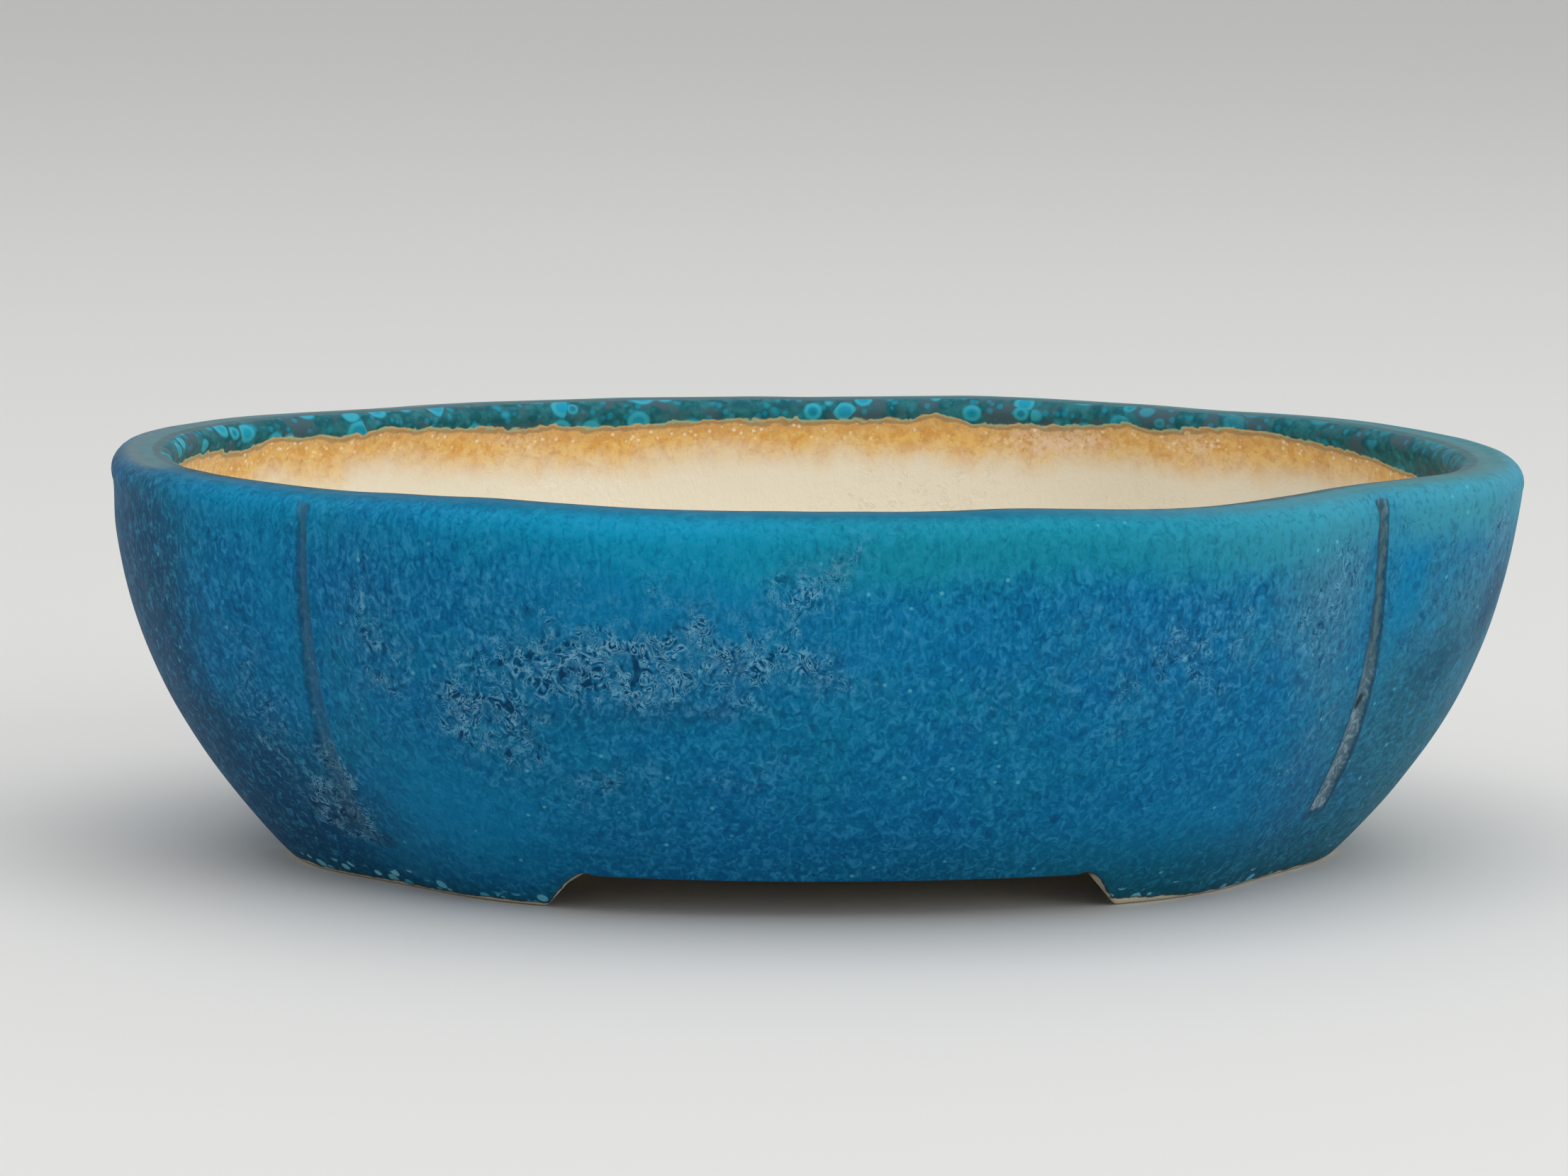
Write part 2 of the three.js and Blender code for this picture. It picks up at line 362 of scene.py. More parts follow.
def wall_section():
    """The wall's section as insets and heights: up the outside, over the lip, down the inside."""
    low = np.linspace(FOOT_HEIGHT, LOW_SIDE_HEIGHT, LOW_SIDE_STEPS, endpoint=False)
    side = np.linspace(LOW_SIDE_HEIGHT, SHOULDER_HEIGHT, SIDE_STEPS, endpoint=False)
    outside = np.stack([np.zeros(len(low) + len(side)), np.concatenate([low, side])], 1)
    shoulder = arc(LIP_ROUND, SHOULDER_HEIGHT, LIP_ROUND, 0, 90, 11)
    edge = arc(LIP_WIDTH - LIP_EDGE_ROUND, HEIGHT - LIP_EDGE_ROUND, LIP_EDGE_ROUND, 90, 180, 7)
    crown = np.linspace(shoulder[-1], edge[0], 5)[1:-1]
    crown[:, 1] += CROWN_RISE * np.sin(np.linspace(0, math.pi, 5))[1:-1]
    inside = through(
        (
            (LIP_WIDTH, HEIGHT - 2),
            (LIP_WIDTH, HEIGHT - LIP_EDGE_ROUND),
            (WALL_THICKNESS + 1.5, HEIGHT - 13),
            (WALL_THICKNESS, HEIGHT / 2 + 10),
            (WALL_THICKNESS + 0.8, 40),
            (WALL_THICKNESS + 2, FLOOR_TOP + COVE_HEIGHT + 3),
            (SEAM_INSET_TOP - 2.6, FLOOR_TOP + 2.2),
            (SEAM_INSET_TOP, FLOOR_TOP + 0.02),
            (SEAM_INSET_TOP + 5, FLOOR_TOP),
        ),
        6,
    )
    return np.concatenate([outside, shoulder, crown, edge, inside[1:]])


WINDOW_EDGE_ROUND = 0.7
WINDOW_EDGE_FADE = (2.4, 0.4)  # how far inside a window's end its rounded edge fades
GLAZE_SAG = 0.7  # how far the glaze hangs over each window's top edge


def make_wall(material):
    """The lobed wall with its lip, closed underneath between its outer face and the floor slab."""
    section = wall_section()
    angles = np.array([column_angles(z) for _, z in section])
    points = np.array([place(angle, z, inset) for angle, (inset, z) in zip(angles, section)])

    # the underside, from the seam with the floor out to the rounded edge over each window
    base_angles = angles[0]
    half = np.abs(pot_radius(base_angles, FOOT_HEIGHT, 0) * np.cos(base_angles) - WINDOW_SHIFT)
    free = 1 - smooth(half, *(WINDOW_HALF_AT_TOP - inside for inside in WINDOW_EDGE_FADE))
    corner = WINDOW_EDGE_ROUND * free
    sag = GLAZE_SAG * free
    under = []
    for inset, rise, hang in ((SEAM_INSET_BOTTOM, 0, 0), (6, 0, 0.3), (1.2, 0, 1), (0.35, 0.3, 1)):
        radius = pot_radius(base_angles, FOOT_HEIGHT, inset)
        height = FOOT_HEIGHT + rise * corner - hang * sag
        under.append(np.stack([*plan_point(radius, base_angles), height], -1))
    for row, share in enumerate((1, 0.7, 0.3)):
        points[row, :, 2] += share * (corner - sag)
    rows = np.concatenate([points, np.array(under)])

    count = len(base_angles)
    rings = np.arange(len(rows) * count).reshape(-1, count)
    faces = bridges([*rings, rings[0]])
    foot_seam = [(column, (column + 1) % count) for column in range(count) if free[column] < 0.5]
    wall = make_object("glazed_wall", rows.reshape(-1, 3), faces, material, foot_seam)
    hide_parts("wall")

    along = length_along(section)
    lip = slice(LOW_SIDE_STEPS + SIDE_STEPS, LOW_SIDE_STEPS + SIDE_STEPS + LIP_STEPS)
    crown_middle = np.interp(CROWN_MIDDLE, section[lip, 0], along[lip])
    along = np.concatenate([along - crown_middle, np.full(len(under), -HEIGHT)])
    every_angle = np.concatenate([angles, np.repeat(base_angles[None], len(under), 0)])
    far, none = np.full(len(rows) * count, 99), np.zeros(len(rows) * count)
    paint(wall, every_angle.ravel(), np.repeat(along, count), from_window=far, inset=none)


# ------------------------ where the glaze does what
# Patches of the outer glaze: plan angle, height, half length and half width in millimetres,
# lean in degrees, and strength.
CRYSTALS = (
    (-115, 55, 32, 8.5, 2, 1.2), (-98, 67, 20, 7, 42, 0.72), (-99, 56, 15, 6, -10, 0.75),
    (-127, 42, 16, 13, -20, 0.85), (-118, 66, 36, 10, 4, 0.5), (-104, 49, 14, 6, 0, 0.6),
    (-115, 30, 36, 9, 0, 0.4), (-137, 55, 14, 18, 0, 0.55), (-154, 35, 24, 10, 78, 0.6),
    (-151.5, 18, 8, 6, 20, 1.8), (-148.5, 26, 4, 8, 0, 1.2), (-166, 62, 20, 15, 0, 0.25),
    (-172, 38, 24, 18, 60, 0.3), (-78, 50, 40, 14, -4, 0.34), (-58, 55, 24, 17, 0, 0.5),
    (-43, 62, 22, 12, 80, 0.6), (-39, 36, 16, 8, 60, 0.45), (-20, 68, 16, 16, 80, 0.45),
    (-6, 48, 26, 20, 60, 0.45), (14, 58, 24, 14, 20, 0.35), (42, 52, 30, 18, 50, 0.6),
    (76, 60, 38, 13, -15, 0.7), (112, 46, 34, 15, 25, 0.9), (128, 66, 26, 9, 30, 0.6),
    (150, 50, 26, 18, -50, 0.7), (178, 50, 24, 18, 20, 0.4),
)
# Where the glaze is clear and bright.
CLEARINGS = (
    (-31.6, 68, 4, 24, 0, 1), (-85, 62, 20, 16, 0, 0.5), (-110, 68, 32, 15, 0, 1),
    (-62, 30, 34, 12, 0, 0.3), (-148, 64, 6, 20, 0, 0.6), (-134, 20, 22, 15, 0, 0.9),
    (-146, 10, 16, 7, 0, 0.8), (-52, 16, 34, 12, 0, 0.75), (38, 66, 10, 20, 0, 0.6),
    (96, 30, 40, 14, 0, 0.5), (164, 30, 24, 14, 0, 0.5),
)
# Where it is greyer and paler: partly a painted sheen, the reflection of light from the right, on the
# right end and the front beside it, and partly greyer glaze.
SHEEN_AND_VEILS = (
    (-43, 68, 16, 22, 0, 0.75), (-60, 58, 30, 16, 0, 0.35), (-18, 56, 30, 34, 0, 0.75),
    (-1, 50, 36, 40, 0, 0.95), (20, 50, 24, 30, 0, 0.5), (70, 56, 40, 20, 0, 0.3),
    (120, 50, 40, 20, 0, 0.35),
)
# Where it is darker: painted shade over the left end, its edge and its lower part, and darker smudges of
# glaze elsewhere.
SHADE_AND_SMUDGES = (
    (-168, 24, 36, 22, -10, 1.45), (-177, 60, 22, 50, 0, 1.1), (-166, 58, 20, 46, 0, 1.1),
    (-112, 45, 26, 4, 2, 0.5), (-156, 14, 7, 4, -20, 0.9), (-149, 11.5, 6, 3, 10, 0.9),
    (-17, 58, 9, 12, -40, 0.8), (-24, 46, 9, 12, -50, 0.6), (-34, 22, 30, 14, 0, 0.35),
    (178, 50, 26, 40, 0, 0.45), (60, 20, 60, 12, 0, 0.4), (140, 22, 50, 14, 0, 0.5),
)
# The turquoise band under the lip: plan angle, strength, and the height that it runs down to.
BAND = (
    (-178, 0.12, 79), (-165, 0.3, 78), (-152, 0.5, 77), (-144, 0.55, 76), (-137, 0.4, 77),
    (-127, 0.55, 77), (-114, 0.85, 76), (-104, 0.95, 74), (-92, 1, 73), (-80, 0.95, 74),
    (-66, 0.9, 75), (-52, 0.95, 73), (-42, 0.9, 74), (-36, 0.6, 76), (-29, 0.85, 75), (-18, 0.8, 75),
    (-5, 0.7, 76), (12, 0.5, 76), (35, 0.6, 75), (62, 0.85, 74), (95, 0.7, 76), (130, 0.85, 74),
    (160, 0.5, 77),
)
# How far below the lip the blue glaze ran down inside: plan angle and millimetres.
RUNS = (
    (0, 9.6), (8, 9.4), (11, 8.2), (16, 6.8), (21, 5.4), (25, 4.6), (29, 3.6), (32, 2.9), (39, 2.8),
    (43, 4.2), (47, 2.9), (51, 3.7), (55, 4.5), (63, 4.7), (66, 4.6), (70, 2.6), (74, 4), (82, 4.3),
    (98, 4.4), (106, 5.3), (113, 6.1), (117, 5.2), (121, 5.7), (125, 5.1), (130, 4.5), (134, 4),
    (139, 3.3), (145, 4.6), (150, 3.7), (153, 3.5), (156, 5.4), (158, 6.1), (161, 4.8), (166, 4.4),
    (170, 5), (-175, 6.2), (-160, 5.2), (-148, 6.5), (-130, 3.6), (-112, 4.8), (-98, 3.2), (-80, 5.2),
    (-66, 3.8), (-50, 4.4), (-36, 6.8), (-20, 6), (-8, 8.2),
)
# How much of the foot the glaze left bare above its rounded bottom edge: plan angle and millimetres.
BARE_FOOT = (
    (-150, 0), (-125, 0.1), (-90, 0.5), (-64, 1.5), (-58, 1.6), (-52, 0.9), (-45, 0.1), (-38, -0.2),
    (-20, 0), (90, 0.5), (140, 0.2),
)
# Where a pinkish sheen is painted on the amber inside the lip: a painted reflection of the window light.
PAINTED_SHEEN = ((56, 78, 14, 4, 0, 0.9), (40, 79, 9, 4, 0, 0.55), (122, 77, 10, 3, 0, 0.5))
# For each crease: how plain the grey strip in its groove is at the lip and at the foot.
STRIPS = ((0.9, 1), (0.8, 0.6), (0.62, 0.4), (0.92, 1))
STRIP_WIDTHS = (1, 1, 0.8, 1)
STRIP_LEANS = (0, 0, -2.2, 2.4)  # how far its top end stands to the right of the crease, in millimetres
STRIP_LEAN_FADE = (-11.5, -4)  # where it leans, along the section from the crown's middle
STRIP_FADE = (28, 60)  # between which heights it changes
BAND_FADE = (-10, 6)  # how far below and above its lower end the turquoise band fades
NOTCHED_CREASE = 3
NOTCH_HEIGHT = 40.5
NOTCH_ASIDE = 0.6
NOTCH_HALF_WIDTH = 1.1
NOTCH_HALF_LENGTH = 1.7
NOTCH_SLOPE = 0.8


def patchwork(patches, angle, z):
    """How strong the patches are at each point, from 0 between them to about 1."""
    amount = np.zeros_like(z)
    radius = oval_radius(angle, z, 0)
    for middle, height, half_length, half_width, lean, strength in patches:
        aside = turn_between(angle, math.radians(middle)) * radius
        up = z - height
        turn = math.radians(lean)
        along = (aside * math.cos(turn) + up * math.sin(turn)) / half_length
        across = (up * math.cos(turn) - aside * math.sin(turn)) / half_width
        amount = np.maximum(amount, strength * np.exp(-0.8 * (along ** 2 + across ** 2)))
    return amount


def round_pot(table, column, angle):
    """A column of a table whose first column is plan angle, read at each angle."""
    rows = sorted(table)
    degrees = np.degrees(turn_between(angle, 0))
    return np.interp(degrees, [row[0] for row in rows], [row[column] for row in rows], period=360)


def paint(piece, angle, section, **more):
    """Keeps on a glazed piece what its glaze depends on at each vertex."""
    places = np.array([tuple(vertex.co) for vertex in piece.data.vertices]) / MM
    x, y, z = places.T
    ragged = 0.6 * wander(x, y, z, 15, 4) + 0.4 * wander(x, y, z, 6, 5)
    tone = wander(x, y, z, 38, 6) + 0.5 * wander(x, y, z, 13, 7)
    distance, number = nearest_crease(angle, z)
    at_lip, at_foot = np.array(STRIPS)[number].T
    lean = np.array(STRIP_LEANS)[number] * smooth(section, *STRIP_LEAN_FADE)
    along_notch = (z - NOTCH_HEIGHT - NOTCH_SLOPE * distance) / NOTCH_HALF_LENGTH
    notch = np.hypot((distance - NOTCH_ASIDE) / NOTCH_HALF_WIDTH, along_notch)
    above_band_end = z - round_pot(BAND, 2, angle) - 3 * tone
    values = dict(
        section=section,
        crease=np.abs(distance - lean),
        groove=groove_half_width(z) * np.array(STRIP_WIDTHS)[number],
        strip=at_foot + (at_lip - at_foot) * smooth(z, *STRIP_FADE),
        notch=np.where(number == NOTCHED_CREASE, notch, 9),
        mottle=patchwork(CRYSTALS, angle, z) + 0.3 * ragged,
        clear=patchwork(CLEARINGS, angle, z) + 0.2 * ragged,
        # partly a painted sheen of light from the right, partly greyer glaze
        sheen_and_veil=patchwork(SHEEN_AND_VEILS, angle, z) + 0.2 * tone,
        # painted shade on the left end, and darker smudges of glaze
        shade_and_smudge=patchwork(SHADE_AND_SMUDGES, angle, z) + 0.15 * tone,
        band=round_pot(BAND, 1, angle) * smooth(above_band_end, *BAND_FADE),
        tone=tone,
        bare=round_pot(BARE_FOOT, 1, angle),
        # a painted pinkish reflection on the amber inside the lip
        painted_sheen=patchwork(PAINTED_SHEEN, angle, z),
        below_run=HEIGHT - round_pot(RUNS, 1, angle) - z,
        **more,
    )
    for name, numbers in values.items():
        attribute = piece.data.attributes.new(name, "FLOAT", "POINT")
        attribute.data.foreach_set("value", np.asarray(numbers, np.float32).ravel())


# ------------------------ feet
FOOT_END_ROUND = 1.1
FOOT_END_STEPS = 4
WINDOW_FILLET = 1.6
FOOT_END_SHARE = 36  # how many columns share the move of a foot's end to its slanted edge
FOOT_FINE_HEIGHT = 3.2  # below this height, where the glaze ends, the rows are closer
FOOT_TOP = FOOT_HEIGHT - 0.1  # hidden just under the wall


def window_half(z):
    """Half the window's width at a height: a slanted end, with a fillet where it meets the wall."""
    slant = WINDOW_HALF_AT_TOP + 1 - WINDOW_HALF_AT_GROUND
    half = WINDOW_HALF_AT_GROUND + slant * z / FOOT_HEIGHT
    fillet = np.clip((z / FOOT_HEIGHT - 0.7) / 0.3, 0, 1)
    return half - WINDOW_FILLET * (1 - np.sqrt(1 - fillet ** 2))


def foot_section():
    """A foot's section as insets and heights: down outside, under, up inside and over its top."""
    upper = np.linspace(FOOT_HEIGHT, FOOT_FINE_HEIGHT, 12, endpoint=False)
    drop = np.concatenate([upper, np.linspace(FOOT_FINE_HEIGHT, EDGE_ROUND, 9)])
    toe = arc(EDGE_ROUND, EDGE_ROUND, EDGE_ROUND, 0, -90, 5)
    heel = arc(FOOT_WIDTH - FOOT_TAPER - EDGE_ROUND, EDGE_ROUND, EDGE_ROUND, -90, -180, 4)
    return np.concatenate([
        np.stack([np.zeros(len(drop)), drop], 1),
        toe[1:],
        np.linspace(toe[-1], heel[0], 7)[1:],
        heel[1:],
        np.linspace(heel[-1], (FOOT_WIDTH, FOOT_TOP), 6)[1:],
        np.linspace((FOOT_WIDTH, FOOT_TOP), (0.4, FOOT_TOP), 6)[1:],
    ])


def angle_at(across, guess, z, inset, end):
    """The plan angle near a guess at which the pot's face is that far out along its length."""
    angle = guess
    for _ in range(8):
        radius = pot_radius(angle, z, inset)
        angle = angle + (across - radius * np.cos(angle) * end) / (-radius * np.sin(angle) * end)
    return angle


def foot_rows(end):
    """Plan angle, height and inset of every point of a foot, as rows round the end of the pot."""
    section = foot_section()
    angles = column_angles(FOOT_HEIGHT)
    out = pot_radius(angles, FOOT_HEIGHT, 0) * np.cos(angles) * end
    over = out > WINDOW_HALF_AT_TOP + end * WINDOW_SHIFT
    start = next(i for i in range(len(over)) if over[i] and not over[i - 1])
    columns = (start + np.arange(over.sum())) % len(over)
    falling = np.clip(1 - np.arange(len(columns)) / FOOT_END_SHARE, 0, 1) ** 1.5
    inset, z = section[:, :1], section[:, 1:]
    angle = np.array([np.unwrap(column_angles(height)[columns]) for height in section[:, 1]])
    first, last = angle[:, :1], angle[:, -1:]
    foot_end = window_half(z) + end * WINDOW_SHIFT
    limit = foot_end + FOOT_END_ROUND
    angle = (
        angle
        + (angle_at(limit, first, z, inset, end) - first) * falling
        + (angle_at(limit, last, z, inset, end) - last) * falling[::-1]
    )
    width = FOOT_WIDTH - FOOT_TAPER * (1 - z / FOOT_HEIGHT)
    before, after = [], []
    for turn in np.linspace(0, math.pi / 2, FOOT_END_STEPS + 1)[1:]:
        # past its last column the foot rounds off: its section shrinks as it nears the end
        shrunk = FOOT_END_ROUND * (1 - math.cos(turn))
        tucked = np.clip(inset, shrunk, width - shrunk)
        lifted = np.clip(z, shrunk, FOOT_HEIGHT)
        reach = foot_end + FOOT_END_ROUND * (1 - math.sin(turn))
        before.insert(0, (angle_at(reach, angle[:, :1], lifted, tucked, end), lifted, tucked))
        after.append((angle_at(reach, angle[:, -1:], lifted, tucked, end), lifted, tucked))
    flat = np.ones_like(angle)
    body = (angle, z * flat, inset * flat)
    return [np.concatenate([part[k] for part in (*before, body, *after)], 1) for k in range(3)]


def make_foot(name, end, material):
    """One foot, with its two ends cut slanting by the windows."""
    angle, z, inset = foot_rows(end)
    rows, columns = angle.shape
    points = place(angle, z, inset)
    points[..., 2] = z
    faces = []
    for row in range(rows):
        here, below = row * columns, (row + 1) % rows * columns
        for column in range(columns - 1):
            faces.append((here + column, below + column, below + column + 1, here + column + 1))
    first_ring = range(0, rows * columns, columns)
    faces.append(tuple(reversed(first_ring)))
    faces.append(tuple(start + columns - 1 for start in first_ring))
    seam = [(column, column + 1) for column in range(columns - 1)]
    foot = make_object(name + "_glazed", points.reshape(-1, 3), faces, material, seam)
    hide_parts(name)
    from_window = points[..., 0] * end - window_half(z) - end * WINDOW_SHIFT
    section = np.full(angle.size, -HEIGHT)
    paint(foot, angle.ravel(), section, from_window=from_window, inset=inset)


# ------------------------ floor slab
FLOOR_GRID = 4.5
FLOOR_ROW_GAP = FLOOR_GRID * 0.87
GRID_EDGE_GAP = 6  # how far the grid keeps from the slab's edge, where its two outlines differ
GRID_HOLE_GAP = 3
OUTLINE_SIDES = 320
DRAIN_SIDES = 72
WIRE_HOLE_SIDES = 28
HOLE_ROUND = 1.1
TOP_INSET = SEAM_INSET_TOP + 0.02
LOW_INSET = SEAM_INSET_BOTTOM + 0.3


def floor_holes():
    """Centre, radius and number of sides of every hole in the floor."""
    drains = [(end * DRAIN_SPACING / 2, 0, DRAIN_DIAMETER / 2, DRAIN_SIDES) for end in (-1, 1)]
    corners = [(end * WIRE_HOLE_X, side * WIRE_HOLE_Y) for end in (-1, 1) for side in (-1, 1)]
    return drains + [(*corner, WIRE_HOLE_DIAMETER / 2, WIRE_HOLE_SIDES) for corner in corners]


def circle(x, y, radius, sides):
    turn = np.linspace(0, 2 * math.pi, sides, endpoint=False)
    return np.stack(plan_point(radius, turn), 1) + (x, y)


def at_height(points, z):
    return np.column_stack([points, np.full(len(points), z)])


def floor_outline(z, inset):
    angles = np.linspace(0, 2 * math.pi, OUTLINE_SIDES, endpoint=False)
    return np.stack(plan_point(pot_radius(angles, z, inset), angles), 1)


def room_inside(points, inset):
    """How far each point of the plan is inside the slab's edge."""
    x, y = np.transpose(points)
    return pot_radius(np.arctan2(y, x), FLOOR_TOP, inset) - np.hypot(x, y)


def make_floor(material):
    """The slab: one flat triangulation serves its top and its underside, and walls join them."""
    holes = floor_holes()
    top_edge = floor_outline(FLOOR_TOP, TOP_INSET)
    low_edge = floor_outline(FOOT_HEIGHT, LOW_INSET)
    flat, loops = list(map(tuple, top_edge)), [np.arange(len(top_edge))]
    for x, y, radius, sides in holes:
        loops.append(len(flat) + np.arange(sides))
        flat.extend(map(tuple, circle(x, y, radius + HOLE_ROUND, sides)))
    across = np.arange(-WIDTH / 2, WIDTH / 2, FLOOR_GRID)
    for row, y in enumerate(np.arange(-DEPTH / 2, DEPTH / 2, FLOOR_ROW_GAP)):
        for x in across + FLOOR_GRID / 2 * (row % 2):
            gaps = [math.hypot(x - hole[0], y - hole[1]) - hole[2] for hole in holes]
            if room_inside([(x, y)], SEAM_INSET_TOP)[0] > GRID_EDGE_GAP and min(gaps) > GRID_HOLE_GAP:
                flat.append((x, y))
    corners = [Vector(point) for point in flat]
    edges = [(int(a), int(b)) for loop in loops for a, b in zip(loop, np.roll(loop, -1))]
    points, _, triangles, *_ = geometry.delaunay_2d_cdt(corners, edges, [], 1, 1e-6, False)
    points = np.array([tuple(point) for point in points])
    sheet = []
    for triangle in triangles:
        middle = points[list(triangle)].mean(0)
        if room_inside([middle], TOP_INSET)[0] > 0 and all(
            math.hypot(middle[0] - x, middle[1] - y) > (radius + HOLE_ROUND) * math.cos(math.pi / sides)
            for x, y, radius, sides in holes
        ):
            sheet.append(tuple(triangle))

    count = len(points)
    top, low = at_height(points, FLOOR_TOP), at_height(points, FOOT_HEIGHT)
    room = room_inside(points, SEAM_INSET_TOP)
    top[:, 2] += 0.3 * wander(top[:, 0], top[:, 1], 0, 26, 8) * smooth(room, 0, 8)
    low[: len(top_edge), :2] = low_edge
    vertices = [top, low]
    faces = sheet + [tuple(count + i for i in reversed(triangle)) for triangle in sheet]
    for a, b in zip(loops[0], np.roll(loops[0], -1)):
        faces.append((int(a), int(a) + count, int(b) + count, int(b)))
    total = 2 * count
    for (x, y, radius, sides), loop in zip(holes, loops[1:]):
        rings = [loop]
        for level, inwards, turns in ((FLOOR_TOP, -1, (30, 60, 90)), (FOOT_HEIGHT, 1, (90, 60, 30))):
            for turn in np.radians(turns):
                ring = circle(x, y, radius + HOLE_ROUND * (1 - math.sin(turn)), sides)
                height = level + inwards * HOLE_ROUND * (1 - math.cos(turn))
                vertices.append(at_height(ring, height))
                rings.append(total + np.arange(sides))
                total += sides
        faces += bridges([*rings, loop + count])
    floor = make_object("clay_floor", np.concatenate(vertices), faces, material)
    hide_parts("floor_slab")


# ------------------------ floor, light and camera
def make_stage():
    mesh = bpy.data.meshes.new("studio_floor")
    reach = 12.0
    corners = [(-reach, -reach, 0), (reach, -reach, 0), (reach, reach, 0), (-reach, reach, 0)]
    mesh.from_pydata(corners, [], [(0, 1, 2, 3)])
    paper = bpy.data.materials.new("studio_paper")
    paper.use_nodes = True
    shader = paper.node_tree.nodes["Principled BSDF"]
    shader.inputs["Base Color"].default_value = (0.62, 0.615, 0.60, 1)
    shader.inputs["Roughness"].default_value = 0.9
    ground = put("studio_floor", mesh)
    mesh.materials.append(paper)


def soft_light(name, place, target, width, height, power):
    light = bpy.data.lights.new(name, "AREA")
    light.shape = "RECTANGLE"
    light.size, light.size_y = width, height
    light.energy = power
    lamp = put(name, light)
    lamp.location = place
    lamp.rotation_euler = (Vector(target) - Vector(place)).to_track_quat("-Z", "Y").to_euler()


def make_light():
    world = bpy.data.worlds.new("soft_room")
    bpy.context.scene.world = world
    world.use_nodes = True
    backdrop = world.node_tree.nodes["Background"]
    backdrop.inputs["Color"].default_value = (0.81, 0.82, 0.82, 1)
    backdrop.inputs["Strength"].default_value = 0.9
    middle = (0, 0, 0.05)
    soft_light("overhead", (0.2, -0.6, 3.0), middle, 4.0, 3.0, 52)
    soft_light("right_window", (1.5, -1.5, 1.0), middle, 1.5, 1.2, 15)
    bpy.context.scene.view_settings.view_transform = "Standard"


def make_camera():
    """The photograph's viewpoint: a little left of the middle, and about ten degrees above the lip."""
    distance, height = 1.18566, 0.21317
    aside = 0.0908
    heading = aside - 0.0056
    downward, tilt = 0.1323, 0.0098
    data = bpy.data.cameras.new("camera")
    data.sensor_width = 36
    data.lens = 128.4
    camera = put("camera", data)
    forward = Vector((
        math.sin(heading) * math.cos(downward),
        math.cos(heading) * math.cos(downward),
        -math.sin(downward),
    ))
    level = Vector((math.cos(heading), -math.sin(heading), 0))
    upright = level.cross(forward)
    right = math.cos(tilt) * level + math.sin(tilt) * upright
    up = math.cos(tilt) * upright - math.sin(tilt) * level
    camera.matrix_world = Matrix.LocRotScale(
        Vector((-distance * math.sin(aside), -distance * math.cos(aside), height)),
        Matrix((right, up, -forward)).transposed(),
        None,
    )
    bpy.context.scene.camera = camera


# ------------------------ materials
def linear(red, green, blue):
    """A colour given as 0 to 255 screen values, in the linear light that shaders work in."""
    values = [value / 255 for value in (red, green, blue)]
    return tuple(v / 12.92 if v < 0.04045 else ((v + 0.055) / 1.055) ** 2.4 for v in values) + (1,)


